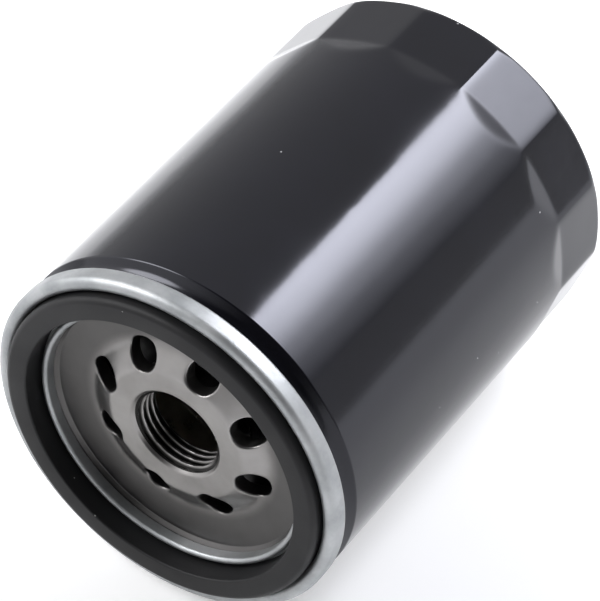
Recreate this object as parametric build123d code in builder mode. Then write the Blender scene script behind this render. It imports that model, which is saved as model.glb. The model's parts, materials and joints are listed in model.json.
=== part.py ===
"""Spin-on oil filter: sheet-steel can, rolled-in lid, threaded base plate, gasket and the element inside.

The filter lies on its side. The origin is on the surface it lies on, under the middle of the can, +Y runs
along the axis from the threaded end to the closed end, and +Z is up. Each piece is drawn upright, with the
axis along Z, the closed end at zero and the gasket on top, and is laid down when it is saved.
"""
import os
from math import atan2, cos, pi, radians, sin, tan

from build123d import *

# ---------------------------------------------------------------- driving dimensions (millimetres)
overall_height = 101.6  # closed end to sealing face of the gasket, 4 in
can_radius = 38.1  # 3 in can
can_sheet = 0.4  # thickness of the can's sheet
lid_sheet = 0.6  # thickness of the lid's sheet
seam_gap = 0.1  # play between the sheets in the rolled seam
face_gap = 0.025  # play between two faces that are pressed together

# closed end of the can
end_flat_radius = 25.0  # flat disc that the filter stands on
end_corner_rise = 1.3  # height that the cone would reach at the can wall
end_corner_radius = 3.0
form_height = 23.0  # height of the stretch that carries the wrench flats

# wrench flats
flat_count = 14
flat_inset = 0.86  # depth of a flat's middle below the round wall
flat_length = 16.2  # height where the flats start to run out
runout_length = 4.6  # length over which a flat runs out into the round wall
flat_phase = 18.0  # angle of the first ridge from +X, degrees

# rolled seam at the threaded end
seam_outer_radius = 38.4
crown_drop = 1.7  # depth of the seam's crown below the gasket face
seam_drop = 6.2  # depth of the seam's lower edge
hook_play = 0.6  # room between the crown and the can's hook
can_hook_length = 1.8  # straight length of the can's hook
lid_hook_drop = 3.6  # depth of the end of the lid's hook

# neck of the can, under the seam
shoulder_drop = 9.9  # depth where the can reaches its full diameter
neck_corner_drop = 8.14  # depth where the shoulder's slope would meet the neck
neck_radius = 35.8  # middle of the sheet
neck_top_drop = 6.5  # depth where the neck widens again into the seam
seam_root_drop = 5.7
shoulder_fillet = 0.4
neck_fillet = 3.2
root_bend = 0.25  # bends of the sheet where the neck widens into the seam

# gasket and its channel
gasket_outer_radius = 35.25
gasket_inner_radius = 30.4
gasket_height = 6.0
gasket_face_edge = 1.2  # rounding of the outer edge of the sealing face
gasket_back_edge = 0.8  # rounding of the outer edge in the channel
gasket_inner_edge = 0.5
lip_outer_radius = 29.76  # inner lip of the channel, a hem of the lid sheet
lip_inner_radius = 28.4
lip_drop = 3.95  # depth of the lip's crest
lip_end_gap = 0.2  # between the cut end of the lid's sheet and the base plate
channel_inner_bend = 0.45  # bends of the sheet at the channel's floor
channel_outer_bend = 1.0

# seam compound, under the seam's crown
compound_half_width = 0.3
compound_height = 0.45
compound_edge = 0.12

# base plate
plate_thickness = 2.8
plate_radius = 35.4
plateau_drop = 5.9  # depth of the raised middle
plateau_radius = 15.0
valley_radius = 20.0  # foot of the shoulder round the raised middle
valley_drop = 8.6
valley_rise_radius = 27.9  # where the valley's slow rise ends, just inside the lip
valley_rise_drop = 7.5
rim_start_radius = 28.8  # where the flat rim under the channel starts
valley_under_radius = 26.2  # end of the valley's flat underside
hub_radius = 12.4  # threaded hub under the raised middle
hub_drop = 13.0
hub_cove = 1.6  # width of the slope between the hub and the plate's underside

# thread, 3/4-16 UNF internal
thread_pitch = 25.4 / 16
thread_minor_radius = 8.7
thread_major_radius = 9.55
mouth_radius = 10.2  # wide end of the lead-in chamfer

# oil inlet holes
oil_hole_count = 8
oil_hole_radius = 3.25
oil_hole_pitch_radius = 17.6
oil_hole_phase = 26.5  # angle of the first hole from +X, degrees

# anti-drainback valve
valve_clearance = 0.05  # between the valve's collar and the hub
valve_travel = 1.5
valve_room = 0.6  # space left under the collar at full travel
collar_thickness = 1.9
skirt_thickness = 1.3
skirt_radius = 25.4
skirt_rest_gap = 0.06  # between the skirt's lip and the plate at rest
skirt_rise = 1.6  # height of the skirt's lip above the collar
skirt_lip_width = 1.4  # flat land that seals on the plate
skirt_lip_height = 1.5

# filter element
cap_sheet = 0.6
cap_radius = 33.0
upper_cap_drop = 20.2  # depth of the upper cap's face
lower_cap_height = 18.4  # height of the lower cap's underside
cap_rim = 5.0
potting_thickness = 1.6
tube_radius = 13.2
tube_wall = 0.6
tube_hole_radius = 2.0
tube_hole_rows = 9
tube_holes_per_row = 8
pleat_count = 44
pleat_inner_radius = 14.4
pleat_outer_radius = 32.0
paper = 0.5

# bypass valve in the lower cap
seat_bore_radius = 7.0
seat_outer_radius = 9.4
seat_height = 1.3
seal_outer_radius = 9.0
seal_height = 1.2
disc_radius = 9.3
disc_thickness = 1.0
stem_radius = 1.5
stem_length = 12.6
cage_outer_radius = 11.9
cage_wall = 0.7
cage_height = 13.4
bypass_wire = 0.45  # radius of the wire
bypass_coil_radius = 5.2
bypass_turns = 5

# element spring
element_wire = 0.9  # radius of the wire
element_coil_radius = 15.0
element_turns = 3.5

# ---------------------------------------------------------------- heights worked out from them
gasket_face_z = overall_height
channel_floor_z = gasket_face_z - gasket_height
crown_z = gasket_face_z - crown_drop
seam_bottom_z = gasket_face_z - seam_drop
lip_z = gasket_face_z - lip_drop
plate_rim_z = channel_floor_z - lid_sheet - face_gap
plateau_z = gasket_face_z - plateau_drop
hub_bottom_z = gasket_face_z - hub_drop
upper_cap_z = gasket_face_z - upper_cap_drop
lower_cap_top_z = lower_cap_height + cap_sheet
tube_top_z = upper_cap_z - cap_sheet - face_gap
tube_bottom_z = lower_cap_top_z + face_gap
layer = (can_sheet + lid_sheet) / 2 + seam_gap  # radial pitch of the five layers in the seam
seam_wall_radius = seam_outer_radius - lid_sheet / 2  # middles of the sheets, from the outside inwards
body_hook_radius = seam_wall_radius - layer
cover_hook_radius = body_hook_radius - layer
body_radius = cover_hook_radius - layer
chuck_radius = body_radius - layer
seam_bend = layer - 0.01  # just under half the distance between the walls that a fold joins

lying_down = Location((0, overall_height / 2, seam_outer_radius), (90, 0, 0))

os.makedirs("parts", exist_ok=True)


def save(piece, name):
    """Lay a finished piece on its side, label it and write it to parts/."""
    piece.part.move(lying_down)
    piece.part.label = name
    export_step(piece.part, f"parts/{name}.step")


def ring(inner_radius, outer_radius, low_z, high_z, edge=0.0):
    """Ring of rectangular section about Z, with its edges rounded if an edge radius is given."""
    with BuildPart(mode=Mode.PRIVATE) as body:
        with BuildSketch(Plane.XZ):
            with Locations(((inner_radius + outer_radius) / 2, (low_z + high_z) / 2)):
                if edge:
                    RectangleRounded(outer_radius - inner_radius, high_z - low_z, edge)
                else:
                    Rectangle(outer_radius - inner_radius, high_z - low_z)
        revolve(axis=Axis.Z)
    return body


def coil(wire_radius, coil_radius, low_z, high_z, turns):
    """Helical spring whose wire stays between two heights."""
    height = high_z - low_z - 2 * wire_radius
    with BuildPart(mode=Mode.PRIVATE) as body:
        with BuildLine():
            path = Helix(height / turns, height, coil_radius, center=(0, 0, low_z + wire_radius))
        with BuildSketch(Plane(origin=path @ 0, x_dir=(1, 0, 0), z_dir=path % 0)):
            Circle(wire_radius)
        sweep(path=path, is_frenet=True)
    return body


# ---------------------------------------------------------------- can
def closed_end(inset):
    """Solid form of the closed end, drawn in by an inset: flat disc, shallow cone, corner, wrench flats."""
    cone_angle = atan2(end_corner_rise, can_radius - end_flat_radius)
    wall = can_radius - inset
    cone_lift = inset / cos(cone_angle)
    cone_start = end_flat_radius + (inset - cone_lift) / tan(cone_angle)
    cone_end_z = (wall - end_flat_radius) * tan(cone_angle) + cone_lift
    flat = can_radius - flat_inset - inset
    runout = flat_length + runout_length
    with BuildPart(mode=Mode.PRIVATE) as form:
        with BuildSketch(Plane.XZ) as outline:
            with BuildLine():
                Polyline((0, inset), (cone_start, inset), (wall, cone_end_z), (wall, form_height),
                         (0, form_height), close=True)
            make_face()
            corner = outline.vertices().group_by(Axis.X)[-1].sort_by(Axis.Y)[0]
            fillet(corner, end_corner_radius - inset)
        revolve(axis=Axis.Z)
        for index in range(flat_count):
            turn = flat_phase + (index + 0.5) * 360 / flat_count
            across = Plane(origin=(0, 0, 0), x_dir=(cos(radians(turn)), sin(radians(turn)), 0),
                           z_dir=(sin(radians(turn)), -cos(radians(turn)), 0))
            with BuildSketch(across):
                with BuildLine():
                    Polyline((flat, -1), (flat, flat_length), (wall + 0.02, runout),
                             (wall + 2, runout), (wall + 2, -1), close=True)
                make_face()
            extrude(amount=9, both=True, mode=Mode.SUBTRACT)
    return form.part


with BuildPart() as can:
    add(closed_end(0))
    add(closed_end(can_sheet), mode=Mode.SUBTRACT)
    # wall, shoulder, neck and the hook that is rolled into the seam
    with BuildSketch(Plane.XZ):
        with BuildLine():
            wall_middle = can_radius - can_sheet / 2
            hook_top_z = crown_z - lid_sheet - hook_play - can_sheet / 2
            FilletPolyline(
                (wall_middle, form_height), (wall_middle, gasket_face_z - shoulder_drop),
                (neck_radius, gasket_face_z - neck_corner_drop), (neck_radius, gasket_face_z - neck_top_drop),
                (body_radius, gasket_face_z - seam_root_drop), (body_radius, hook_top_z),
                (body_hook_radius, hook_top_z), (body_hook_radius, hook_top_z - can_hook_length),
                radius=[shoulder_fillet, neck_fillet, root_bend, root_bend, seam_bend, seam_bend])
        trace(line_width=can_sheet)
    revolve(axis=Axis.Z)
save(can, "can")

# ---------------------------------------------------------------- lid, seam compound and gasket
with BuildPart() as seaming_lid:
    lip_middle_outer = lip_outer_radius - lid_sheet / 2
    lip_middle_inner = lip_inner_radius + lid_sheet / 2
    lip_bend = (lip_middle_outer - lip_middle_inner) / 2 - 0.01
    lip_middle_z = lip_z - lid_sheet / 2
    floor_z = channel_floor_z - lid_sheet / 2
    crown_middle_z = crown_z - lid_sheet / 2
    fold_z = seam_bottom_z + lid_sheet / 2
    crown_bend = 2 * layer - 0.01  # just under half the width of the seam's full-round crown
    with BuildSketch(Plane.XZ):
        with BuildLine():
            FilletPolyline(
                (lip_middle_inner, plate_rim_z + lip_end_gap), (lip_middle_inner, lip_middle_z),
                (lip_middle_outer, lip_middle_z), (lip_middle_outer, floor_z),
                (chuck_radius, floor_z), (chuck_radius, crown_middle_z),
                (seam_wall_radius, crown_middle_z), (seam_wall_radius, fold_z),
                (cover_hook_radius, fold_z), (cover_hook_radius, gasket_face_z - lid_hook_drop),
                radius=[lip_bend, lip_bend, channel_inner_bend, channel_outer_bend, crown_bend, crown_bend,
                        seam_bend, seam_bend])
        trace(line_width=lid_sheet)
    revolve(axis=Axis.Z)
save(seaming_lid, "seaming_lid")

compound_top_z = crown_z - lid_sheet - seam_gap
seam_compound = ring(cover_hook_radius - compound_half_width, cover_hook_radius + compound_half_width,
                     compound_top_z - compound_height, compound_top_z, compound_edge)
save(seam_compound, "seam_compound")

with BuildPart() as sealing_gasket:
    with BuildSketch(Plane.XZ):
        with BuildLine():
            FilletPolyline(
                (gasket_inner_radius, gasket_face_z), (gasket_outer_radius, gasket_face_z),
                (gasket_outer_radius, channel_floor_z), (gasket_inner_radius, channel_floor_z),
                close=True, radius=[gasket_inner_edge, gasket_face_edge, gasket_back_edge, gasket_inner_edge])
        make_face()
    revolve(axis=Axis.Z)
save(sealing_gasket, "sealing_gasket")

# ---------------------------------------------------------------- base plate
with BuildPart() as base_plate:
    valley_z = gasket_face_z - valley_drop
    rise_z = gasket_face_z - valley_rise_drop
    chamfer_depth = mouth_radius - thread_minor_radius
    foot_radius = valley_radius - 1.2  # the shoulder's foot, seen from underneath
    with BuildSketch(Plane.XZ) as plate_section:
        with BuildLine():
            FilletPolyline(
                (thread_minor_radius, hub_bottom_z), (thread_minor_radius, plateau_z - chamfer_depth),
                (mouth_radius, plateau_z), (plateau_radius, plateau_z), (valley_radius, valley_z),
                (valley_rise_radius, rise_z), (rim_start_radius, plate_rim_z), (plate_radius, plate_rim_z),
                (plate_radius, plate_rim_z - plate_thickness),
                (rim_start_radius, plate_rim_z - plate_thickness),
                (valley_under_radius, valley_z - plate_thickness), (foot_radius, valley_z - plate_thickness),
                (hub_radius + hub_cove, plateau_z - plate_thickness),
                (hub_radius, plateau_z - plate_thickness - hub_cove / 2),
                (hub_radius, hub_bottom_z),
                close=True, radius=[0, 0, 0.3, 2.2, 2.4, 0.4, 0.4, 0.3, 0.3, 1.2, 2.0, 2.0, 1.0, 0, 0.4])
        make_face()
    revolve(axis=Axis.Z)
    with Locations((0, 0, plateau_z)):
        with PolarLocations(oil_hole_pitch_radius, oil_hole_count, start_angle=oil_hole_phase):
            Hole(oil_hole_radius, depth=plateau_z - hub_bottom_z)
    # one V groove, cut along a helix that runs out past both ends of the bore
    groove_start_z = hub_bottom_z - thread_pitch
    groove_length = plateau_z + thread_pitch - groove_start_z
    flank = tan(radians(30))
    bottom_half = thread_pitch / 16
    overcut = 0.2  # how far the groove's section reaches past the bore wall
    depth_in = thread_major_radius - thread_minor_radius
    top_half = bottom_half + (depth_in + overcut) * flank
    with BuildLine():
        lead = Helix(thread_pitch, groove_length, thread_minor_radius, center=(0, 0, groove_start_z))
    with BuildSketch(Plane(origin=lead @ 0, x_dir=(1, 0, 0), z_dir=lead % 0)):
        with BuildLine():
            Polyline((-overcut, -top_half), (depth_in, -bottom_half), (depth_in, bottom_half),
                     (-overcut, top_half), close=True)
        make_face()
    sweep(path=lead, is_frenet=True, mode=Mode.SUBTRACT)
save(base_plate, "base_plate")

# ---------------------------------------------------------------- anti-drainback valve
with BuildPart() as drainback_valve:
    collar_inner = hub_radius + valve_clearance
    collar_outer = collar_inner + collar_thickness
    skirt_top_z = valley_z - plate_thickness - skirt_rest_gap
    collar_top_z = skirt_top_z - skirt_rise
    collar_bottom_z = upper_cap_z + valve_travel + valve_room
    with BuildSketch(Plane.XZ):
        with BuildLine():
            FilletPolyline(
                (collar_inner, collar_bottom_z), (collar_inner, collar_top_z),
                (collar_outer + 0.6, collar_top_z),
                (skirt_radius - 2.2, skirt_top_z - 0.9), (skirt_radius - skirt_lip_width, skirt_top_z),
                (skirt_radius, skirt_top_z), (skirt_radius, skirt_top_z - skirt_lip_height),
                (collar_outer, collar_top_z - skirt_thickness - 0.4), (collar_outer, collar_bottom_z),
                close=True, radius=[0.3, 0.3, 1.0, 0.5, 0.3, 0.4, 0.4, 1.2, 0.3])
        make_face()
    revolve(axis=Axis.Z)
save(drainback_valve, "drainback_valve")

# ---------------------------------------------------------------- end caps and potting
with BuildPart() as upper_end_cap:
    neck_middle = hub_radius - cap_sheet / 2
    rim_middle = cap_radius - cap_sheet / 2
    face_z = upper_cap_z - cap_sheet / 2
    with BuildSketch(Plane.XZ):
        with BuildLine():
            FilletPolyline(
                (neck_middle, hub_bottom_z - 0.05), (neck_middle, face_z), (rim_middle, face_z),
                (rim_middle, face_z - cap_rim), radius=[0.5, 0.8])
        trace(line_width=cap_sheet)
    revolve(axis=Axis.Z)
save(upper_end_cap, "upper_end_cap")

with BuildPart() as lower_end_cap:
    face_z = lower_cap_height + cap_sheet / 2
    with BuildSketch(Plane.XZ):
        with BuildLine():
            FilletPolyline(
                (seat_bore_radius, face_z), (rim_middle, face_z), (rim_middle, face_z + cap_rim),
                radius=[0.8])
        trace(line_width=cap_sheet)
    revolve(axis=Axis.Z)
save(lower_end_cap, "lower_end_cap")

potting_edge = 0.2
potting_inner = tube_radius + 0.2
potting_outer = cap_radius - cap_sheet - 0.6
upper_potting_z = upper_cap_z - cap_sheet - face_gap
lower_potting_z = lower_cap_top_z + face_gap
save(ring(potting_inner, potting_outer, upper_potting_z - potting_thickness, upper_potting_z, potting_edge),
     "upper_potting")
save(ring(potting_inner, potting_outer, lower_potting_z, lower_potting_z + potting_thickness, potting_edge),
     "lower_potting")

# ---------------------------------------------------------------- pleated paper and its seam clip
pleat_low_z = lower_potting_z + potting_thickness
pleat_high_z = upper_potting_z - potting_thickness
half_gap = paper / 2  # half of the free space at the root of a pleat, outside
half_fold = half_gap + paper  # half of a fold's outside width
pleat_angle = 360 / pleat_count


def pleat_outline(tip_radius, tip_half, root_radius, root_half):
    """Closed zigzag outline: a short flat at each tip and at each root, one of each per pleat."""
    points = []
    for index in range(pleat_count):
        middle = radians(index * pleat_angle)
        root = middle + radians(pleat_angle / 2)
        for radius, angle in ((tip_radius, middle - tip_half / tip_radius),
                              (tip_radius, middle + tip_half / tip_radius),
                              (root_radius, root - root_half / root_radius),
                              (root_radius, root + root_half / root_radius)):
            points.append((radius * cos(angle), radius * sin(angle)))
    return points


with BuildPart() as pleated_paper:
    with BuildSketch(Plane.XY.offset(pleat_low_z)):
        with BuildLine():
            outside = pleat_outline(pleat_outer_radius, half_fold, pleat_inner_radius + paper, half_gap)
            Polyline(*outside, close=True)
        make_face()
        with BuildLine():
            inside = pleat_outline(pleat_outer_radius - paper, half_gap, pleat_inner_radius, half_fold)
            Polyline(*inside, close=True)
        make_face(mode=Mode.SUBTRACT)
    extrude(amount=pleat_high_z - pleat_low_z)
save(pleated_paper, "pleated_paper")

with BuildPart() as seam_clip:
    # folded strip that rides over one pleat's outer fold
    clip_play = 0.04
    clip_sheet = 0.25
    clip_depth = 5.0
    clip_half = half_fold + clip_play
    clip_face = pleat_outer_radius + clip_play
    with BuildSketch(Plane.XY.offset(pleat_low_z + 0.5)):
        with Locations((clip_face + clip_sheet - clip_depth / 2, 0)):
            Rectangle(clip_depth, 2 * (clip_half + clip_sheet))
        with Locations((clip_face - clip_depth / 2 - 1, 0)):
            Rectangle(clip_depth + 2, 2 * clip_half, mode=Mode.SUBTRACT)
    extrude(amount=pleat_high_z - pleat_low_z - 1)
save(seam_clip, "seam_clip")

# ---------------------------------------------------------------- centre tube
with BuildPart() as centre_tube:
    add(ring(tube_radius - tube_wall, tube_radius, tube_bottom_z, tube_top_z).part)
    row_pitch = (tube_top_z - tube_bottom_z) / (tube_hole_rows + 1)
    for row in range(tube_hole_rows):
        for step in range(tube_holes_per_row):
            turn = (step + 0.5 * (row % 2)) * 360 / tube_holes_per_row
            across = Plane(origin=(0, 0, tube_bottom_z + (row + 1) * row_pitch), x_dir=(0, 0, 1),
                           z_dir=(cos(radians(turn)), sin(radians(turn)), 0))
            with BuildSketch(across):
                Circle(tube_hole_radius)
            extrude(amount=tube_radius + 1, mode=Mode.SUBTRACT)
save(centre_tube, "centre_tube")

# ---------------------------------------------------------------- bypass valve
seat_low_z = lower_cap_top_z + face_gap
seat_top_z = seat_low_z + seat_height
seal_low_z = seat_top_z + 0.02
seal_top_z = seal_low_z + seal_height
disc_top_z = seal_top_z + disc_thickness
cage_top_z = seat_low_z + cage_height

with BuildPart() as bypass_seat:
    with BuildSketch(Plane.XZ):
        with BuildLine():
            Polyline((seat_bore_radius, seat_low_z), (seat_bore_radius, seat_top_z),
                     (seat_bore_radius + 0.8, seat_top_z), (seat_outer_radius, seat_low_z + 0.5),
                     (seat_outer_radius, seat_low_z), close=True)
        make_face()
    revolve(axis=Axis.Z)
save(bypass_seat, "bypass_seat")

bypass_seal = ring(seat_bore_radius - 1.5, seal_outer_radius, seal_low_z, seal_top_z, 0.2)
save(bypass_seal, "bypass_seal")

bypass_disc = ring(stem_radius, disc_radius, seal_top_z, disc_top_z)
save(bypass_disc, "bypass_disc")

with BuildPart() as bypass_stem:
    # headed pin, pressed through the disc
    with BuildSketch(Plane.XY.offset(seal_top_z - 0.8)):
        Circle(stem_radius + 1.2)
    extrude(amount=0.8)
    with BuildSketch(Plane.XY.offset(seal_top_z)):
        Circle(stem_radius)
    extrude(amount=stem_length)
    chamfer(bypass_stem.faces().sort_by(Axis.Z)[-1].edges(), 0.3)
save(bypass_stem, "bypass_stem")

with BuildPart() as bypass_cage:
    # cup with a guide hole for the stem and four side windows for the oil
    cage_middle = cage_outer_radius - cage_wall / 2
    with BuildSketch(Plane.XZ):
        with BuildLine():
            FilletPolyline(
                (seat_outer_radius + 0.3, seat_low_z + cage_wall / 2),
                (cage_middle, seat_low_z + cage_wall / 2),
                (cage_middle, cage_top_z - cage_wall / 2), (stem_radius + 0.06, cage_top_z - cage_wall / 2),
                radius=[0.36, 1.5])
        trace(line_width=cage_wall)
    revolve(axis=Axis.Z)
    for index in range(4):
        window = Plane(origin=(0, 0, seat_low_z + cage_height / 2), x_dir=(0, 0, 1),
                       z_dir=(cos(index * pi / 2), sin(index * pi / 2), 0))
        with BuildSketch(window):
            RectangleRounded(cage_height - 5, 9, 1.5)
        extrude(amount=cage_outer_radius + 1, mode=Mode.SUBTRACT)
save(bypass_cage, "bypass_cage")

spring_gap = 0.03  # between a spring's end and the face it stands on
bypass_spring = coil(bypass_wire, bypass_coil_radius, disc_top_z + spring_gap,
                     cage_top_z - cage_wall - spring_gap, bypass_turns)
save(bypass_spring, "bypass_spring")

# ---------------------------------------------------------------- element spring
element_spring = coil(element_wire, element_coil_radius, can_sheet + spring_gap,
                      lower_cap_height - spring_gap, element_turns)
save(element_spring, "element_spring")
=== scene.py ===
"""Spin-on oil filter lying on its side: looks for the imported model.

Sizes are in millimetres unless a name says otherwise. A place on the filter is given by its radius from the
axis, its depth below the gasket's sealing face, measured towards the closed end, and its angle from +X.
"""
import json
from math import radians

import bmesh
import bpy
import numpy as np
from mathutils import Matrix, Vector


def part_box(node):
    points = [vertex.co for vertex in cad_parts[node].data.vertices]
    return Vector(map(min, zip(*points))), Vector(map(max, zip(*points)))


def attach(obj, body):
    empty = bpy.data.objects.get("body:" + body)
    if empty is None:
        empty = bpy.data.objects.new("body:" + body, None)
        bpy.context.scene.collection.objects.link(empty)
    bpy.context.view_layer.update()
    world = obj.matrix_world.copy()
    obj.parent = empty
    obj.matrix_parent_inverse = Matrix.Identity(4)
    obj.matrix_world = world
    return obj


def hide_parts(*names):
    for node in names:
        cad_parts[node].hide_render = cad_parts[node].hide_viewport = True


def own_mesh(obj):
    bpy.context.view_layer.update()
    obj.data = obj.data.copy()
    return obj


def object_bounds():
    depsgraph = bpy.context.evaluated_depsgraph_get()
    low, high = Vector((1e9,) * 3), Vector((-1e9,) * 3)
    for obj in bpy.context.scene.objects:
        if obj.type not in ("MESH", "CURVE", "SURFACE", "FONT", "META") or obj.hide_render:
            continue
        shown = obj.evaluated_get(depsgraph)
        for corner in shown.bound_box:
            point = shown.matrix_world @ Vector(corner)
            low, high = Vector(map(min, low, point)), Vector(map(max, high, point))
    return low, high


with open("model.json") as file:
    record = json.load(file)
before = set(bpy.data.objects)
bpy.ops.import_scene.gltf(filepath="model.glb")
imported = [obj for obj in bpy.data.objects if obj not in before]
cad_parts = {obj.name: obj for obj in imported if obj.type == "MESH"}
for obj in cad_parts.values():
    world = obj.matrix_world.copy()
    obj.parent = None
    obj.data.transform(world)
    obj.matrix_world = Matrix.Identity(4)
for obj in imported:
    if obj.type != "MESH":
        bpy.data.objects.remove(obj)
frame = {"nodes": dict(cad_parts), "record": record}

cad_low, cad_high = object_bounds()
filter_length = (cad_high.y - cad_low.y) * 1000
face_y = cad_low.y * 1000
axis_height = (cad_low.z + cad_high.z) / 2 * 1000

# ================================================================ can
# Deep-drawn steel cup, necked in under the seam, with fourteen wrench flats pressed into its closed end.
# Dipped in gloss black stoving enamel: a hard, faintly blue black with a little orange peel and dust.

def node_radius(node):
    """Outer radius of a CAD node that is round about the axis."""
    low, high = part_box(node)
    return (high.x - low.x) * 500


can_radius = node_radius("can")
can_sheet = 0.4
lid_sheet = 0.6

# the seam: middles of its five layers of sheet, from the outside inwards
seam_play = 0.1
seam_layer = (can_sheet + lid_sheet) / 2 + seam_play
seam_wall_radius = node_radius("seaming_lid") - lid_sheet / 2
body_hook_radius = seam_wall_radius - seam_layer
cover_hook_radius = body_hook_radius - seam_layer
body_radius = cover_hook_radius - seam_layer
crown_depth = 1.7
seam_bend = 0.59
hook_play = 0.6
body_hook_length = 1.8

# the neck, from the seam down to the can's full width
seam_root_depth = 5.7
neck_top_depth = 6.5
neck_radius = 35.8
neck_corner_depth = 8.14
shoulder_depth = 9.9
root_bend, neck_bend, shoulder_bend = 0.25, 3.2, 0.4

# the closed end: a flat disc, a shallow cone and a corner
end_disc_radius = 25
end_cone_rise = 1.5
end_cone_bend, end_corner_bend = 6, 2.8

flat_count = 14
flat_inset = 0.86
flat_length = 16.15
flat_bow = 0.65  # how much further the run-out starts at a ridge than at a flat's middle
runout_length = 4.65
runout_softness = 0.22
runout_overshoot = 0.02
flat_phase = radians(18.0)
ridge_softness = 0.09
pressed_height = 30  # no part of a flat lies higher above the closed end


def on_filter(radius, depth, angle):
    """Places in metres: radius turned by angle about the can's axis, at that depth from the sealing face."""
    radius, depth, angle = np.broadcast_arrays(radius, depth, angle)
    return np.stack([radius * np.cos(angle), face_y + depth, axis_height + radius * np.sin(angle)], -1) / 1000


def rounded(corners, radii, closed=False, steps=7):
    """Straight runs joined by arcs: at each corner an arc of its radius touches both runs."""
    corners, radii = np.array(corners, float), np.array(radii, float)[:, None]
    back = np.roll(corners, 1, 0) - corners
    ahead = np.roll(corners, -1, 0) - corners
    back /= np.linalg.norm(back, axis=1, keepdims=True)
    ahead /= np.linalg.norm(ahead, axis=1, keepdims=True)
    half = np.arccos(np.clip((back * ahead).sum(1), -1, 1))[:, None] / 2
    if not closed:
        radii[[0, -1]] = 0
        half[[0, -1]] = np.pi / 4
        back[0], ahead[-1] = (1, 0), (1, 0)
    inward = back + ahead
    inward /= np.linalg.norm(inward, axis=1, keepdims=True) + 1e-12
    centre = corners + inward * radii / np.sin(half)
    start = back * radii / np.tan(half) + corners - centre
    sweep = np.pi - 2 * half
    turn = np.sign(back[:, :1] * ahead[:, 1:] - back[:, 1:] * ahead[:, :1])
    swept = -turn * sweep * np.linspace(0, 1, steps)[None]
    along = np.stack([start[:, :1] * np.cos(swept) - start[:, 1:] * np.sin(swept),
                      start[:, :1] * np.sin(swept) + start[:, 1:] * np.cos(swept)], -1)
    points = (centre[:, None] + along).reshape(-1, 2)
    apart = np.linalg.norm(np.diff(points, axis=0), axis=1) > 1e-5
    return points[np.append(True, apart)]


def finer(path, step, start=0.0, end=1e9):
    """The same path with more points: its own, and one every step of length between two lengths along it."""
    length = np.append(0, np.cumsum(np.linalg.norm(np.diff(path, axis=0), axis=1)))
    extra = np.arange(start, min(end, length[-1]), step)
    close = np.abs(extra[:, None] - length[None]).min(1) > step * 0.3
    at = np.sort(np.append(length, extra[close]))
    return np.stack([np.interp(at, length, path[:, 0]), np.interp(at, length, path[:, 1])], 1)


def sheet_sides(path, thickness):
    """The two sides of a sheet whose middle follows a path: the path moved along its normal each way."""
    along = np.gradient(path, axis=0)
    along /= np.linalg.norm(along, axis=1, keepdims=True)
    normal = np.stack([along[:, 1], -along[:, 0]], 1) * thickness / 2
    return path + normal, path - normal


def grid_faces(rows, columns, wrap_rows=False):
    """Corner numbers of the quads of a grid that is closed across its columns, and across its rows if asked."""
    row = np.arange(rows if wrap_rows else rows - 1)[:, None]
    column = np.arange(columns)[None]
    after, beside = (row + 1) % rows, (column + 1) % columns
    return np.stack([row * columns + column, row * columns + beside,
                     after * columns + beside, after * columns + column], -1).reshape(-1, 4)


def make_piece(name, points, faces, material, smooth_below=38):
    """A mesh object from points and quads: doubles merged, outside out, smooth except over sharp edges."""
    mesh = bpy.data.meshes.new(name)
    mesh.from_pydata(points.reshape(-1, 3).tolist(), [], faces.tolist())
    shape = bmesh.new()
    shape.from_mesh(mesh)
    bmesh.ops.remove_doubles(shape, verts=shape.verts, dist=2e-6)
    bmesh.ops.dissolve_degenerate(shape, edges=shape.edges, dist=1e-7)
    bmesh.ops.recalc_face_normals(shape, faces=shape.faces)
    shape.to_mesh(mesh)
    shape.free()
    mesh.shade_smooth()
    mesh.set_sharp_from_angle(angle=radians(smooth_below))
    mesh.materials.append(material)
    piece = bpy.data.objects.new(name, mesh)
    bpy.context.scene.collection.objects.link(piece)
    return piece


def linear(code):
    """An sRGB hex colour as linear RGBA."""
    value = np.array([int(code[place:place + 2], 16) for place in (1, 3, 5)]) / 255
    value = np.where(value < 0.04045, value / 12.92, ((value + 0.055) / 1.055) ** 2.4)
    return (*value.tolist(), 1.0)


def add_node(material, kind, settings=None, inputs=None):
    """One node, with its settings, and its inputs set to a value or linked from another node's socket."""
    made = material.node_tree.nodes.new(kind)
    for name, value in (settings or {}).items():
        setattr(made, name, value)
    for name, value in (inputs or {}).items():
        if isinstance(value, bpy.types.NodeSocket):
            material.node_tree.links.new(value, made.inputs[name])
        else:
            made.inputs[name].default_value = value
    return made


def new_material(name):
    """An empty node material and its output node."""
    made = bpy.data.materials.new(name)
    made.use_nodes = True
    made.node_tree.nodes.clear()
    return made, add_node(made, "ShaderNodeOutputMaterial")


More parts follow.
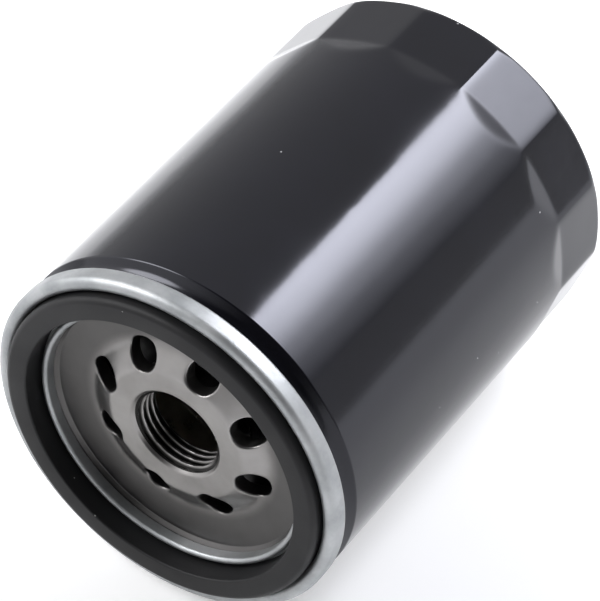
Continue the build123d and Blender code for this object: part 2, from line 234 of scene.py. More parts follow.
def black_enamel():
    """Gloss black stoving enamel: hard clear reflections, orange peel about 2.4 mm across, slow sags
    about 17 mm across, specks of dust."""
    made, output = new_material("gloss_black_enamel")
    place = add_node(made, "ShaderNodeTexCoord").outputs["Object"]
    peel = add_node(made, "ShaderNodeTexNoise", None, {"Vector": place, "Scale": 420.0, "Detail": 1.5})
    sag = add_node(made, "ShaderNodeTexNoise", None, {"Vector": place, "Scale": 60.0, "Detail": 2.0})
    bump_far = add_node(made, "ShaderNodeBump", None,
                        {"Height": sag.outputs["Fac"], "Strength": 0.12, "Distance": 0.0006})
    bump = add_node(made, "ShaderNodeBump", None,
                    {"Height": peel.outputs["Fac"], "Strength": 0.05, "Distance": 0.0001,
                     "Normal": bump_far.outputs["Normal"]})
    # dust: a few specks about 0.4 mm wide, each cell of the pattern about 4 mm
    cells = add_node(made, "ShaderNodeTexVoronoi", {"feature": "F1"}, {"Vector": place, "Scale": 260.0})
    few = add_node(made, "ShaderNodeSeparateColor", None, {"Color": cells.outputs["Color"]})
    rare = add_node(made, "ShaderNodeMath", {"operation": "GREATER_THAN"}, {0: few.outputs["Red"], 1: 0.86})
    near = add_node(made, "ShaderNodeMath", {"operation": "LESS_THAN"},
                    {0: cells.outputs["Distance"], 1: 0.055})
    dust = add_node(made, "ShaderNodeMath", {"operation": "MULTIPLY"},
                    {0: rare.outputs["Value"], 1: near.outputs["Value"]})
    tone = add_node(made, "ShaderNodeMapRange", None,
                    {"Value": sag.outputs["Fac"], "From Min": 0.3, "From Max": 0.7})
    black = add_node(made, "ShaderNodeMix", {"data_type": "RGBA"},
                     {"Factor": tone.outputs["Result"], 6: linear("#07070b"), 7: linear("#0a0a10")})
    colour = add_node(made, "ShaderNodeMix", {"data_type": "RGBA"},
                      {"Factor": dust.outputs["Value"], 6: black.outputs[2], 7: linear("#8d8d8d")})
    rough = add_node(made, "ShaderNodeMapRange", None,
                     {"Value": sag.outputs["Fac"], "From Min": 0.3, "From Max": 0.7,
                      "To Min": 0.1, "To Max": 0.15})
    shader = add_node(made, "ShaderNodeBsdfPrincipled", None,
                      {"Base Color": colour.outputs[2], "Roughness": rough.outputs["Result"], "IOR": 1.46,
                       "Specular Tint": (0.9, 0.91, 1.0, 1.0), "Normal": bump.outputs["Normal"]})
    made.node_tree.links.new(shader.outputs["BSDF"], output.inputs["Surface"])
    return made


# columns of the can's grid, closer together towards the ridges between the flats
flat_pitch = 2 * np.pi / flat_count
columns_per_flat = 24
crowding = 0.75
across = np.arange(columns_per_flat) / columns_per_flat - 0.5
across = across + crowding * np.sin(2 * np.pi * across) / (2 * np.pi)
can_angles = ((np.arange(flat_count)[:, None] + 0.5 + across[None]) * flat_pitch + flat_phase).ravel()

can_middle = can_radius - can_sheet / 2
end_depth = filter_length - can_sheet / 2
hook_depth = crown_depth + lid_sheet + hook_play + can_sheet / 2
can_path = rounded(
    [(0, end_depth), (end_disc_radius, end_depth), (can_middle, filter_length - end_cone_rise),
     (can_middle, shoulder_depth), (neck_radius, neck_corner_depth), (neck_radius, neck_top_depth),
     (body_radius, seam_root_depth), (body_radius, hook_depth), (body_hook_radius, hook_depth),
     (body_hook_radius, hook_depth + body_hook_length)],
    [0, end_cone_bend, end_corner_bend, shoulder_bend, neck_bend, root_bend, root_bend, seam_bend, seam_bend,
     0],
    steps=9)
# rows 0.35 mm apart along the stretch that carries the flats and their run-out
can_path = finer(can_path, 0.35, 35.0, 62.0)


def press_flats(radius, depth, wall_inset):
    """Radius of each point after the flats are pressed: a soft minimum of the round wall and of the flat, so a
    ridge is a little rounded. The flat's distance from the axis grows evenly over the run-out, which starts on
    a bow, until it clears the wall."""
    height = filter_length - depth
    across_flat = (can_angles - flat_phase) % flat_pitch - flat_pitch / 2
    past = height[:, None] - flat_length - flat_bow * (2 * across_flat[None] / flat_pitch) ** 2
    grown = np.logaddexp(0, past / runout_softness) * runout_softness
    grown = grown / runout_length * (flat_inset + runout_overshoot)
    flat = (can_radius - flat_inset - wall_inset + grown) / np.cos(across_flat)[None]
    least = np.minimum(radius[:, None], flat)
    gap = np.abs(radius[:, None] - flat)
    softened = ridge_softness * np.log1p(np.exp(-gap / ridge_softness))
    return least - softened * (height < pressed_height)[:, None]


sides = sheet_sides(can_path, can_sheet)
outside, inside = sorted(sides, key=lambda side: -side[:, 0].max())
rows = [press_flats(side[:, 0], side[:, 1], inset) for side, inset in ((outside, 0), (inside, can_sheet))]
can_radii = np.concatenate([rows[0], rows[1][::-1]])
can_radii[[0, -1]] = 0
can_depths = np.concatenate([outside[:, 1], inside[::-1, 1]])[:, None]
can_points = on_filter(can_radii, can_depths, can_angles[None])
can_shell = make_piece("can_shell", can_points, grid_faces(*can_points.shape[:2]), black_enamel(),
                       smooth_below=60)
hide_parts("can")
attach(can_shell, "root")


# ================================================================ seaming lid
# Thin zinc-plated steel ring. Its outer edge is rolled with the can's edge into the seam, and its inner edge
# is hemmed into the thin bright lip that keeps the gasket in its channel.

lip_outer_radius = 29.76
lip_inner_radius = 28.4
lip_depth = 3.95
lip_bend = 0.37
lip_end_gap = 0.2
channel_depth = (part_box("sealing_gasket")[1].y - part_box("sealing_gasket")[0].y) * 1000
channel_inner_bend, channel_outer_bend = 0.45, 1.0
chuck_radius = body_radius - seam_layer
crown_bend = 1.19
seam_bottom_depth = 6.2
cover_hook_depth = 3.6
face_gap = 0.025
plate_rim_depth = channel_depth + lid_sheet + face_gap


def zinc_plate():
    """Bright zinc on rolled steel, passivated: a satin silver grey with cloudy patches about 8 mm across and a
    fine grain under 1 mm."""
    made, output = new_material("blue_zinc_plate")
    place = add_node(made, "ShaderNodeTexCoord").outputs["Object"]
    cloud = add_node(made, "ShaderNodeTexNoise", None, {"Vector": place, "Scale": 130.0, "Detail": 3.0})
    fine = add_node(made, "ShaderNodeTexNoise", None, {"Vector": place, "Scale": 1500.0, "Detail": 2.0})
    tone = add_node(made, "ShaderNodeMapRange", None,
                    {"Value": cloud.outputs["Fac"], "From Min": 0.35, "From Max": 0.65})
    colour = add_node(made, "ShaderNodeMix", {"data_type": "RGBA"},
                      {"Factor": tone.outputs["Result"], 6: linear("#999c9d"), 7: linear("#b0b2b3")})
    rough = add_node(made, "ShaderNodeMapRange", None,
                     {"Value": fine.outputs["Fac"], "From Min": 0.3, "From Max": 0.7,
                      "To Min": 0.46, "To Max": 0.56})
    bump = add_node(made, "ShaderNodeBump", None,
                    {"Height": fine.outputs["Fac"], "Strength": 0.12, "Distance": 0.00005})
    shader = add_node(made, "ShaderNodeBsdfPrincipled", None,
                      {"Base Color": colour.outputs[2], "Metallic": 1.0, "Roughness": rough.outputs["Result"],
                       "Normal": bump.outputs["Normal"]})
    made.node_tree.links.new(shader.outputs["BSDF"], output.inputs["Surface"])
    return made


ring_columns = 288
ring_angles = np.arange(ring_columns) / ring_columns * 2 * np.pi


def make_ring(name, section, material):
    """A ring: a closed outline of radius and depth, turned about the can's axis."""
    points = on_filter(section[:, None, 0], section[:, None, 1], ring_angles[None])
    return make_piece(name, points, grid_faces(*points.shape[:2], wrap_rows=True), material)


half_lid = lid_sheet / 2
lip_inside, lip_outside = lip_inner_radius + half_lid, lip_outer_radius - half_lid
lid_path = rounded(
    [(lip_inside, plate_rim_depth - lip_end_gap), (lip_inside, lip_depth + half_lid),
     (lip_outside, lip_depth + half_lid), (lip_outside, channel_depth + half_lid),
     (chuck_radius, channel_depth + half_lid), (chuck_radius, crown_depth + half_lid),
     (seam_wall_radius, crown_depth + half_lid), (seam_wall_radius, seam_bottom_depth - half_lid),
     (cover_hook_radius, seam_bottom_depth - half_lid), (cover_hook_radius, cover_hook_depth)],
    [0, lip_bend, lip_bend, channel_inner_bend, channel_outer_bend, crown_bend, crown_bend, seam_bend,
     seam_bend, 0],
    steps=13)
lid_side, lid_other_side = sheet_sides(lid_path, lid_sheet)
lid_ring = make_ring("lid_ring", np.concatenate([lid_side, lid_other_side[::-1]]), zinc_plate())
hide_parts("seaming_lid")
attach(lid_ring, "root")


# ================================================================ sealing gasket
# Moulded nitrile ring of square section with softened edges. Its face is matt and picks up lint.

gasket_outer_radius = node_radius("sealing_gasket")
gasket_inner_radius = 30.4
gasket_edges = [0.4, 1.2, 0.8, 0.5]  # face inside, face outside, back outside, back inside


def nitrile(name, colour_code, rough_low, rough_high, lint):
    """Black nitrile rubber: matt, with a moulded grain about 0.5 mm across, soft clouds about 11 mm across and,
    where asked, specks of pale lint about 0.3 mm wide."""
    made, output = new_material(name)
    place = add_node(made, "ShaderNodeTexCoord").outputs["Object"]
    grain = add_node(made, "ShaderNodeTexNoise", None, {"Vector": place, "Scale": 2200.0, "Detail": 2.0})
    cloud = add_node(made, "ShaderNodeTexNoise", None, {"Vector": place, "Scale": 90.0, "Detail": 3.0})
    cells = add_node(made, "ShaderNodeTexVoronoi", {"feature": "F1"}, {"Vector": place, "Scale": 330.0})
    pick = add_node(made, "ShaderNodeSeparateColor", None, {"Color": cells.outputs["Color"]})
    rare = add_node(made, "ShaderNodeMath", {"operation": "GREATER_THAN"}, {0: pick.outputs["Red"], 1: 0.8})
    near = add_node(made, "ShaderNodeMath", {"operation": "LESS_THAN"},
                    {0: cells.outputs["Distance"], 1: 0.05})
    speck = add_node(made, "ShaderNodeMath", {"operation": "MULTIPLY"},
                     {0: rare.outputs["Value"], 1: near.outputs["Value"]})
    shown = add_node(made, "ShaderNodeMath", {"operation": "MULTIPLY"}, {0: speck.outputs["Value"], 1: lint})
    base = add_node(made, "ShaderNodeMix", {"data_type": "RGBA"},
                    {"Factor": cloud.outputs["Fac"], 6: linear(colour_code), 7: linear("#101012")})
    colour = add_node(made, "ShaderNodeMix", {"data_type": "RGBA"},
                      {"Factor": shown.outputs["Value"], 6: base.outputs[2], 7: linear("#8f8f8c")})
    rough = add_node(made, "ShaderNodeMapRange", None,
                     {"Value": cloud.outputs["Fac"], "From Min": 0.3, "From Max": 0.7,
                      "To Min": rough_low, "To Max": rough_high})
    bump = add_node(made, "ShaderNodeBump", None,
                    {"Height": grain.outputs["Fac"], "Strength": 0.25, "Distance": 0.00004})
    shader = add_node(made, "ShaderNodeBsdfPrincipled", None,
                      {"Base Color": colour.outputs[2], "Roughness": rough.outputs["Result"], "IOR": 1.4,
                       "Normal": bump.outputs["Normal"]})
    made.node_tree.links.new(shader.outputs["BSDF"], output.inputs["Surface"])
    return made


gasket_section = rounded(
    [(gasket_inner_radius, 0), (gasket_outer_radius, 0), (gasket_outer_radius, channel_depth),
     (gasket_inner_radius, channel_depth)], gasket_edges, closed=True, steps=10)
gasket_ring = make_ring("gasket_ring", gasket_section, nitrile("gasket_rubber", "#09090a", 0.5, 0.62, 0.8))
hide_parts("sealing_gasket")
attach(gasket_ring, "root")


# ================================================================ base plate
# Pressed steel plate, 2.8 mm thick, dished round a raised middle, with eight punched oil holes whose edges are
# rolled over, and a tapped hub. Left bare and lightly oiled: a satin grey, with painted shade outside the
# raised middle and in the roots of the thread.

plate_thickness = 2.8
plate_radius = node_radius("base_plate")
plate_edge = 0.3
plateau_depth = 5.9
plateau_radius = 15.0
valley_depth = 8.6
valley_radius = 20.0
valley_rise_depth, valley_rise_radius = 7.5, 27.9
hub_radius = 12.4
hub_depth = 13.0
hub_edge = 0.4
thread_pitch = 25.4 / 16
thread_minor_radius = 8.7
thread_major_radius = 9.55
thread_turn = 0.35  # share of a turn that the groove is ahead by at the sealing face
mouth_radius = 10.2
hub_mouth_radius = thread_minor_radius + 0.9
hole_count = 8
hole_radius = 3.25
hole_pitch_radius = 17.6
hole_phase = radians(26.5)
ring_inside, ring_outside = 13.3, 21.9  # the band of the plate that holds the oil holes

plate_top = rounded(
    [(mouth_radius, plateau_depth), (plateau_radius, plateau_depth), (valley_radius, valley_depth),
     (valley_rise_radius, valley_rise_depth), (lip_inner_radius + 0.4, plate_rim_depth),
     (plate_radius, plate_rim_depth)],
    [0, 2.2, 2.4, 0.4, 0.4, 0], steps=12)
plate_under = rounded(
    [(hub_radius, plateau_depth + plate_thickness + 0.8), (hub_radius + 1.6, plateau_depth + plate_thickness),
     (19.1, valley_depth + plate_thickness), (25.4, valley_depth + plate_thickness),
     (lip_inner_radius + 0.8, plate_rim_depth + plate_thickness),
     (plate_radius, plate_rim_depth + plate_thickness)],
    [0, 1.0, 2.0, 2.0, 1.2, 0], steps=10)
arc_steps, side_steps, spread_steps = 24, 12, 8
plate_angles = (np.arange(hole_count * arc_steps) / arc_steps - 0.5) * 2 * np.pi / hole_count + hole_phase


def height_at(path, radius):
    """Depth of a plate surface at each radius, read along its outline."""
    return np.interp(radius, path[:, 0], path[:, 1])


def hole_patch(path, edge_radius, edge_side):
    """Band round one oil hole. Rows start on the hole's wall, roll over its edge on a quarter circle, then
    spread evenly until they lie on the sector's border of two arcs and two straight sides."""
    half = np.pi / hole_count
    arc, side = np.arange(arc_steps) / arc_steps, np.arange(side_steps) / side_steps
    outwards = (ring_outside - ring_inside) * side
    border_radius = np.concatenate([np.full(arc_steps, ring_inside), ring_inside + outwards,
                                    np.full(arc_steps, ring_outside), ring_outside - outwards])
    border_angle = np.concatenate([-half + 2 * half * arc, np.full(side_steps, half),
                                   half - 2 * half * arc, np.full(side_steps, -half)])
    border = np.stack([border_radius * np.cos(border_angle) - hole_pitch_radius,
                       border_radius * np.sin(border_angle)], -1)
    way = border / np.linalg.norm(border, axis=1, keepdims=True)
    roll = np.linspace(0, np.pi / 2, 6)[:, None, None]
    spread = (np.arange(1, spread_steps + 1) / spread_steps)[:, None, None]
    edge = way[None] * (hole_radius + edge_radius - edge_radius * np.cos(roll))
    flat = way[None] * (hole_radius + edge_radius) * (1 - spread) + border[None] * spread
    plan = np.concatenate([edge, flat]) + np.array([hole_pitch_radius, 0])
    sunk = np.concatenate([edge_radius * (1 - np.sin(roll[:, 0])), np.zeros((spread_steps, 1))])
    radius, angle = np.hypot(plan[..., 0], plan[..., 1]), np.arctan2(plan[..., 1], plan[..., 0])
    return radius, angle, height_at(path, radius) + edge_side * sunk


def thread_radius(depth, angle):
    """Wall radius of the tapped bore: 60 degree grooves on a right-hand helix with a root an eighth of a pitch
    wide, clipped at the crests, and cut off by a 45 degree cone at each end."""
    turns = (depth / thread_pitch + angle / (2 * np.pi) + thread_turn) % 1
    from_groove = np.abs(turns - 0.5) * thread_pitch
    vee = thread_major_radius - np.maximum(from_groove - thread_pitch / 16, 0) / np.tan(radians(30))
    lead_in = mouth_radius - (depth - plateau_depth)
    lead_out = hub_mouth_radius - (hub_depth - depth)
    return np.maximum(np.maximum(np.clip(vee, thread_minor_radius, None), lead_in), lead_out)


plate_points, plate_faces = [], []


def add_patch(radius, depth, angle):
    """Collects one grid of the plate, closed across its columns."""
    points = on_filter(radius, depth, angle)
    start = sum(len(made) for made in plate_points)
    plate_faces.append(grid_faces(*points.shape[:2]) + start)
    plate_points.append(points.reshape(-1, 3))


top_radius, top_angle, top_depth = hole_patch(plate_top, 0.45, 1)
under_radius, under_angle, under_depth = hole_patch(plate_under, 0.3, -1)
wall_share = np.linspace(0, 1, 6)[:, None]
wall_depth = top_depth[0] * (1 - wall_share) + under_depth[0] * wall_share
for index in range(hole_count):
    turned = hole_phase + index * 2 * np.pi / hole_count
    add_patch(top_radius, top_depth, top_angle + turned)
    add_patch(under_radius, under_depth, under_angle + turned)
    add_patch(top_radius[:1], wall_depth, top_angle[:1] + turned)

# outer band: from the hole ring over the rim and back underneath
rim_top = plate_top[plate_top[:, 0] > ring_outside]
rim_under = plate_under[plate_under[:, 0] > ring_outside]
inwards = (2 * plate_edge, 0)
rim_edge = rounded([rim_top[-1] - inwards, rim_top[-1], rim_under[-1], rim_under[-1] - inwards],
                   [0, plate_edge, plate_edge, 0])
outer_band = np.concatenate([[(ring_outside, height_at(plate_top, ring_outside))], rim_top[:-1], rim_edge,
                             rim_under[-2::-1], [(ring_outside, height_at(plate_under, ring_outside))]])
add_patch(outer_band[:, None, 0], outer_band[:, None, 1], plate_angles[None])

# hub: under the plate to the hub's end, up the tapped bore and over the mouth
hub_under = plate_under[plate_under[:, 0] < ring_inside][::-1]
hub_end = rounded([hub_under[-1], (hub_radius, hub_depth), (hub_mouth_radius, hub_depth)], [0, hub_edge, 0])
hub_band = np.concatenate([[(ring_inside, height_at(plate_under, ring_inside))], hub_under[:-1], hub_end])
bore_depth = np.arange(hub_depth, plateau_depth + 0.12, -0.085)
mouth = np.array([(mouth_radius + 0.03, plateau_depth + 0.05), (mouth_radius + 0.12, plateau_depth + 0.01),
                  (mouth_radius + 0.3, plateau_depth)])
plateau_inner = np.array([(radius, plateau_depth) for radius in (11.2, 12.2, ring_inside)])
bore_radius = thread_radius(bore_depth[:, None], plate_angles[None])


def all_round(radii):
    """The same radius in every column."""
    return np.broadcast_to(radii[:, None], (len(radii), len(plate_angles)))


hub_radii = np.concatenate([all_round(hub_band[:, 0]), bore_radius, all_round(mouth[:, 0]),
                            all_round(plateau_inner[:, 0])])
hub_depths = np.concatenate([hub_band[:, 1], bore_depth, mouth[:, 1], plateau_inner[:, 1]])[:, None]
add_patch(hub_radii, hub_depths, plate_angles[None])


def satin_steel():
    """Pressed mild steel, bare and oiled: a satin grey with faint stains about 10 mm across and a fine grain.
    Painted shade darkens it outside the raised middle and blackens the roots of the thread."""
    made, output = new_material("satin_pressed_steel")
    place = add_node(made, "ShaderNodeTexCoord").outputs["Object"]
    stain = add_node(made, "ShaderNodeTexNoise", None, {"Vector": place, "Scale": 95.0, "Detail": 4.0})
    grain = add_node(made, "ShaderNodeTexNoise", None, {"Vector": place, "Scale": 1800.0, "Detail": 2.0})
    tone = add_node(made, "ShaderNodeMapRange", None,
                    {"Value": stain.outputs["Fac"], "From Min": 0.3, "From Max": 0.7})
    colour = add_node(made, "ShaderNodeMix", {"data_type": "RGBA"},
                      {"Factor": tone.outputs["Result"], 6: linear("#817f7d"), 7: linear("#9b9997")})
    # distance from the axis
    crosswise = add_node(made, "ShaderNodeVectorMath", {"operation": "MULTIPLY"},
                         {0: place, 1: (1.0, 0.0, 1.0)})
    outward = add_node(made, "ShaderNodeVectorMath", {"operation": "DISTANCE"},
                       {0: crosswise.outputs["Vector"], 1: (0.0, 0.0, axis_height / 1000)})
    # painted shade of the recess, from halfway down the shoulder of the raised middle outwards
    painted_recess_shade = add_node(made, "ShaderNodeMapRange", {"interpolation_type": "SMOOTHSTEP"},
                    {"Value": outward.outputs["Value"], "From Min": 0.0182, "From Max": 0.0225,
                     "To Max": 0.8})
    colour = add_node(made, "ShaderNodeMix", {"data_type": "RGBA"},
                      {"Factor": painted_recess_shade.outputs["Result"], 6: colour.outputs[2], 7: linear("#414040")})
    # painted shade in the thread's grooves, past the crests' radius and up to the roots'
    root = add_node(made, "ShaderNodeMapRange", None,
                    {"Value": outward.outputs["Value"], "From Min": (thread_minor_radius + 0.1) / 1000,
                     "From Max": (thread_minor_radius + 0.45) / 1000})
    bore = add_node(made, "ShaderNodeMath", {"operation": "LESS_THAN"},
                    {0: outward.outputs["Value"], 1: (thread_major_radius + 0.03) / 1000})
    painted_groove_shade = add_node(made, "ShaderNodeMath", {"operation": "MULTIPLY"},
                    {0: root.outputs["Result"], 1: bore.outputs["Value"]})
    colour = add_node(made, "ShaderNodeMix", {"data_type": "RGBA"},
                      {"Factor": painted_groove_shade.outputs["Value"], 6: colour.outputs[2], 7: linear("#2a2928")})
    rough = add_node(made, "ShaderNodeMapRange", None,
                     {"Value": stain.outputs["Fac"], "From Min": 0.3, "From Max": 0.7,
                      "To Min": 0.28, "To Max": 0.38})
    bump = add_node(made, "ShaderNodeBump", None,
                    {"Height": grain.outputs["Fac"], "Strength": 0.15, "Distance": 0.00005})
    shader = add_node(made, "ShaderNodeBsdfPrincipled", None,
                      {"Base Color": colour.outputs[2], "Metallic": 1.0, "Roughness": rough.outputs["Result"],
                       "Normal": bump.outputs["Normal"]})
    made.node_tree.links.new(shader.outputs["BSDF"], output.inputs["Surface"])
    return made


steel_plate = make_piece("tapped_plate", np.concatenate(plate_points), np.concatenate(plate_faces),
                         satin_steel())
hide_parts("base_plate")
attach(steel_plate, "root")


# ================================================================ anti-drainback valve
# One nitrile moulding: a collar round the hub and a thin skirt whose bead rests on the back of the base plate.

skirt_radius = node_radius("drainback_valve")
skirt_top_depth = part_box("drainback_valve")[0].y * 1000 - face_y
collar_end_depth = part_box("drainback_valve")[1].y * 1000 - face_y
collar_inside = hub_radius + 0.05
collar_outside = collar_inside + 1.9
collar_top_depth = skirt_top_depth + 1.6
valve_section = rounded(
    [(collar_inside, collar_end_depth), (collar_inside, collar_top_depth),
     (collar_outside + 0.6, collar_top_depth), (skirt_radius - 2.2, skirt_top_depth + 0.9),
     (skirt_radius - 1.4, skirt_top_depth), (skirt_radius, skirt_top_depth),
     (skirt_radius, skirt_top_depth + 1.5), (collar_outside, skirt_top_depth + 3.3),
     (collar_outside, collar_end_depth)],
    [0.3, 0.3, 1.0, 0.5, 0.3, 0.4, 0.4, 1.2, 0.3], closed=True)
valve_skirt = make_ring("valve_skirt", valve_section, nitrile("valve_rubber", "#101011", 0.32, 0.42, 0.0))
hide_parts("drainback_valve")
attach(valve_skirt, "drainback_valve")


# ================================================================ filter element, valves and springs
# Tin-plated caps, tube and cage, resin-treated paper, cured adhesive, and drawn spring wire. They are sealed in
# the can, keep the model's own shapes, and only need their finish.


def inner_finish(name, low_code, high_code, scale, metallic, rough_low, rough_high):
    """A finish that drifts between two tones and two roughnesses on a noise of the given scale per metre."""
    made, output = new_material(name)
    place = add_node(made, "ShaderNodeTexCoord").outputs["Object"]
    drift = add_node(made, "ShaderNodeTexNoise", None, {"Vector": place, "Scale": scale, "Detail": 3.0})
    tone = add_node(made, "ShaderNodeMapRange", None,
                    {"Value": drift.outputs["Fac"], "From Min": 0.3, "From Max": 0.7})
    colour = add_node(made, "ShaderNodeMix", {"data_type": "RGBA"},
                      {"Factor": tone.outputs["Result"], 6: linear(low_code), 7: linear(high_code)})
    rough = add_node(made, "ShaderNodeMapRange", None,
                     {"Value": drift.outputs["Fac"], "From Min": 0.3, "From Max": 0.7,
                      "To Min": rough_low, "To Max": rough_high})
    bump = add_node(made, "ShaderNodeBump", None,
                    {"Height": drift.outputs["Fac"], "Strength": 0.2, "Distance": 0.0001})
    shader = add_node(made, "ShaderNodeBsdfPrincipled", None,
                      {"Base Color": colour.outputs[2], "Metallic": metallic,
                       "Roughness": rough.outputs["Result"], "Normal": bump.outputs["Normal"]})
    made.node_tree.links.new(shader.outputs["BSDF"], output.inputs["Surface"])
    return made


inner_finishes = {
    "tin_steel": inner_finish("tin_plate", "#a9a8a3", "#c4c3bd", 300.0, 1.0, 0.25, 0.4),
    "spring_steel": inner_finish("drawn_spring_wire", "#5c5a58", "#7b7976", 900.0, 1.0, 0.3, 0.45),
    "potting_resin": inner_finish("cured_plastisol", "#6e1f18", "#84281f", 250.0, 0.0, 0.4, 0.6),
    "filter_paper": inner_finish("resin_filter_paper", "#c9ab72", "#dcc28c", 1200.0, 0.0, 0.85, 0.95),
    "seam_rubber": inner_finish("seam_compound_rubber", "#4a4a48", "#5a5a57", 700.0, 0.0, 0.6, 0.75),
    "valve_rubber": nitrile("inner_valve_rubber", "#101011", 0.32, 0.42, 0.0),
}
for subpart in frame["record"]["subparts"]:
    if subpart["material_slot"] in inner_finishes:
        node_object = frame["nodes"][subpart["node"]]
        node_object.data.materials.clear()
        node_object.data.materials.append(inner_finishes[subpart["material_slot"]])


# ================================================================ bypass spring
# The light compression spring between the bypass valve's disc and the roof of its cage: drawn spring wire
# coiled cold, held by nothing but its own push. It shortens towards the cage as the disc lifts; here it is
# drawn at one length.

spring_low, spring_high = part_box("bypass_spring")
spring_wire = 0.45  # radius of the wire
spring_turns = 5
steps_per_turn, wire_sides = 60, 20
spring_coil_radius = (spring_high.x - spring_low.x) * 500 - spring_wire
spring_foot, spring_head = spring_high.y * 1000, spring_low.y * 1000


def coil_surface():
    """A round wire carried along a helix. Centre of the wire at angle t: (R cos t, y, R sin t) from the axis,
    with y going evenly from the foot to the head; round it, a circle in the plane of the outward and the
    sideways direction."""
    turn = np.linspace(0, spring_turns * 2 * np.pi, spring_turns * steps_per_turn + 1)
    outward = np.stack([np.cos(turn), 0 * turn, np.sin(turn)], 1)
    centre = outward * spring_coil_radius + (0, 0, axis_height)
    centre[:, 1] = np.linspace(spring_foot - spring_wire, spring_head + spring_wire, len(turn))
    along = np.gradient(centre, axis=0)
    sideways = np.cross(along / np.linalg.norm(along, axis=1)[:, None], outward)
    roll = np.arange(wire_sides)[None, :, None] * 2 * np.pi / wire_sides
    around = np.cos(roll) * outward[:, None] + np.sin(roll) * sideways[:, None]
    wire = centre[:, None] + spring_wire * around
    ends = np.broadcast_to(centre[[0, -1], None], (2, wire_sides, 3))
    return np.concatenate([ends[:1], wire, ends[1:]]) / 1000


coil_points = coil_surface()
bypass_coil = make_piece("bypass_coil", coil_points, grid_faces(*coil_points.shape[:2]),
                         inner_finishes["spring_steel"])
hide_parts("bypass_spring")
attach(bypass_coil, "root")
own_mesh(bypass_coil)


# ================================================================ floor, studio light and camera
# A matt white floor with a painted glow under and to the left of the filter that pales its shadow, greyer
# beyond it.
# A bright even studio all round, with a dark patch and a small lamp over the front. One softbox high behind
# the can, brightest along the edge nearest to overhead and fading towards its low edge.

floor_mesh = bpy.data.meshes.new("floor")
floor_half = 6.0
floor_mesh.from_pydata([(-floor_half, -floor_half, 0), (floor_half, -floor_half, 0),
                        (floor_half, floor_half, 0), (-floor_half, floor_half, 0)], [], [(0, 1, 2, 3)])
floor_material, floor_output = new_material("white_floor")
floor_place = add_node(floor_material, "ShaderNodeTexCoord").outputs["Object"]
floor_noise = add_node(floor_material, "ShaderNodeTexNoise", None, {"Vector": floor_place, "Scale": 30.0})
floor_colour = add_node(floor_material, "ShaderNodeMix", {"data_type": "RGBA"},
                        {"Factor": floor_noise.outputs["Fac"], 6: linear("#e8e8e8"), 7: linear("#ebebeb")})
# painted light: the floor itself glows in a soft pool near the filter, paling the shadow the filter casts
painted_glow_distance = add_node(floor_material, "ShaderNodeVectorMath", {"operation": "DISTANCE"},
                      {0: floor_place, 1: (-0.16, 0.12, 0.0)})
painted_floor_glow = add_node(floor_material, "ShaderNodeMapRange", {"interpolation_type": "SMOOTHSTEP"},
                      {"Value": painted_glow_distance.outputs["Value"], "From Min": 0.15, "From Max": 0.34,
                       "To Min": 0.55, "To Max": 0.0})
floor_shader = add_node(floor_material, "ShaderNodeBsdfPrincipled", None,
                        {"Base Color": floor_colour.outputs[2], "Roughness": 1.0, "Specular IOR Level": 0.0,
                         "Emission Color": (1.0, 1.0, 1.0, 1.0),
                         "Emission Strength": painted_floor_glow.outputs["Result"]})
floor_material.node_tree.links.new(floor_shader.outputs["BSDF"], floor_output.inputs["Surface"])
floor_mesh.materials.append(floor_material)
floor = bpy.data.objects.new("floor", floor_mesh)
bpy.context.scene.collection.objects.link(floor)

world = bpy.data.worlds.new("studio")
world.use_nodes = True
toward = add_node(world, "ShaderNodeTexCoord").outputs["Generated"]


def light_towards(way, dot_from, dot_to, strength_from, strength_to):
    """Strength that goes smoothly from one value to another as the view turns towards a direction."""
    dot = add_node(world, "ShaderNodeVectorMath", {"operation": "DOT_PRODUCT"}, {0: toward, 1: way})
    strength_there = add_node(world, "ShaderNodeMapRange", {"interpolation_type": "SMOOTHSTEP"},
                              {"Value": dot.outputs["Value"], "From Min": dot_from, "From Max": dot_to,
                               "To Min": strength_from, "To Max": strength_to})
    return strength_there.outputs["Result"]


room = light_towards((0.0, -1.0, 0.0), -0.1, 0.6, 0.74, 0.45)
unlit = light_towards((0.35, -0.5, 0.79), 0.55, 0.8, 1.0, 0.15)
side_glow = light_towards((-0.82, -0.5, 0.27), 0.45, 0.95, 0.0, 1.0)
lamp_glow = light_towards((-0.66, -0.3, 0.69), 0.945, 0.98, 0.0, 8.0)
lamps = add_node(world, "ShaderNodeMath", {"operation": "ADD"}, {0: side_glow, 1: lamp_glow})
studio_light = add_node(world, "ShaderNodeMath", {"operation": "MULTIPLY_ADD"},
                        {0: room, 1: unlit, 2: lamps.outputs["Value"]})
background = world.node_tree.nodes["Background"]
background.inputs["Color"].default_value = (0.98, 0.98, 1.0, 1.0)
world.node_tree.links.new(studio_light.outputs["Value"], background.inputs["Strength"])
bpy.context.scene.world = world


def direction(azimuth, elevation):
    """Unit vector: azimuth in degrees from +Y towards -X, elevation above the horizon."""
    turn, rise = radians(azimuth), radians(elevation)
    return np.array([-np.sin(turn) * np.cos(rise), np.cos(turn) * np.cos(rise), np.sin(rise)])


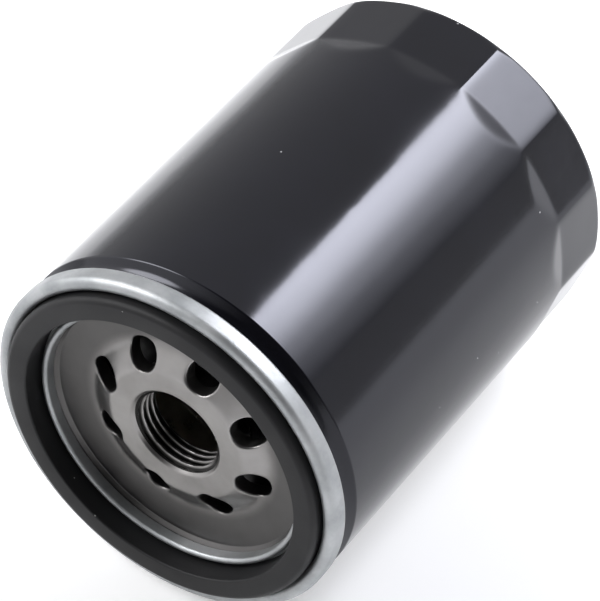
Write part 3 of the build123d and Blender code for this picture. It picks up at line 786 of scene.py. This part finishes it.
softbox_distance = 1.1
high_edge = direction(-17.5, 51.5) * softbox_distance
low_edge = direction(-51.0, 20.0) * softbox_distance
softbox_centre = (high_edge + low_edge) / 2
softbox_width = np.linalg.norm(low_edge - high_edge)
softbox_across = (low_edge - high_edge) / softbox_width
softbox_along = np.cross(softbox_across, softbox_centre / np.linalg.norm(softbox_centre))
softbox_length = 0.9
softbox_corners = [softbox_centre + softbox_across * across_half * softbox_width / 2
                   + softbox_along * along_half * softbox_length / 2
                   for across_half, along_half in ((-1, -1), (1, -1), (1, 1), (-1, 1))]
softbox_mesh = bpy.data.meshes.new("softbox")
softbox_mesh.from_pydata([corner.tolist() for corner in softbox_corners], [], [(0, 1, 2, 3)])
softbox_uv = softbox_mesh.uv_layers.new(name="panel")
softbox_uv.data.foreach_set("uv", [0, 0, 1, 0, 1, 1, 0, 1])
softbox_material, softbox_output = new_material("softbox_cloth")
panel = add_node(softbox_material, "ShaderNodeUVMap", {"uv_map": "panel"}).outputs["UV"]
panel_axes = add_node(softbox_material, "ShaderNodeSeparateXYZ", None, {"Vector": panel})
fade_across = add_node(softbox_material, "ShaderNodeValToRGB", None, {"Fac": panel_axes.outputs["X"]})
fade_along = add_node(softbox_material, "ShaderNodeValToRGB", None, {"Fac": panel_axes.outputs["Y"]})
across_shares = ((0.0, 1.0), (0.12, 1.0), (0.3, 0.8), (0.5, 0.34), (0.72, 0.13), (1.0, 0.03))
along_shares = ((0.0, 0.05), (1.0, 0.05), (0.35, 1.0), (0.65, 1.0))
for ramp, shares in ((fade_across, across_shares), (fade_along, along_shares)):
    stops = ramp.color_ramp.elements
    for spot, (position, share) in enumerate(shares):
        stop = stops[spot] if spot < 2 else stops.new(position)
        stop.position = position
        stop.color = (share, share, share, 1)
fade = add_node(softbox_material, "ShaderNodeMath", {"operation": "MULTIPLY"},
                {0: fade_across.outputs["Color"], 1: fade_along.outputs["Color"]})
strength = add_node(softbox_material, "ShaderNodeMath", {"operation": "MULTIPLY"},
                    {0: fade.outputs["Value"], 1: 18.5})
glow = add_node(softbox_material, "ShaderNodeEmission", None,
                {"Color": (0.93, 0.94, 1.0, 1.0), "Strength": strength.outputs["Value"]})
softbox_material.node_tree.links.new(glow.outputs["Emission"], softbox_output.inputs["Surface"])
softbox_mesh.materials.append(softbox_material)
softbox = bpy.data.objects.new("softbox", softbox_mesh)
softbox.visible_camera = False
bpy.context.scene.collection.objects.link(softbox)

bpy.context.scene.view_settings.view_transform = "Standard"

camera_data = bpy.data.cameras.new("camera")
camera_data.lens = 236.2
camera_data.sensor_width = 36.0
camera_data.clip_start = 0.01
camera_data.clip_end = 100
camera = bpy.data.objects.new("camera", camera_data)
bpy.context.scene.collection.objects.link(camera)
camera_azimuth, camera_elevation = -146.57, 43.84
camera_distance = 0.7672
aim = np.array([-0.00029, -0.00174, 0.03856])
camera.location = aim + direction(camera_azimuth, camera_elevation) * camera_distance
camera.rotation_euler = (radians(90 - camera_elevation), 0, radians(camera_azimuth + 180))
bpy.context.scene.camera = camera
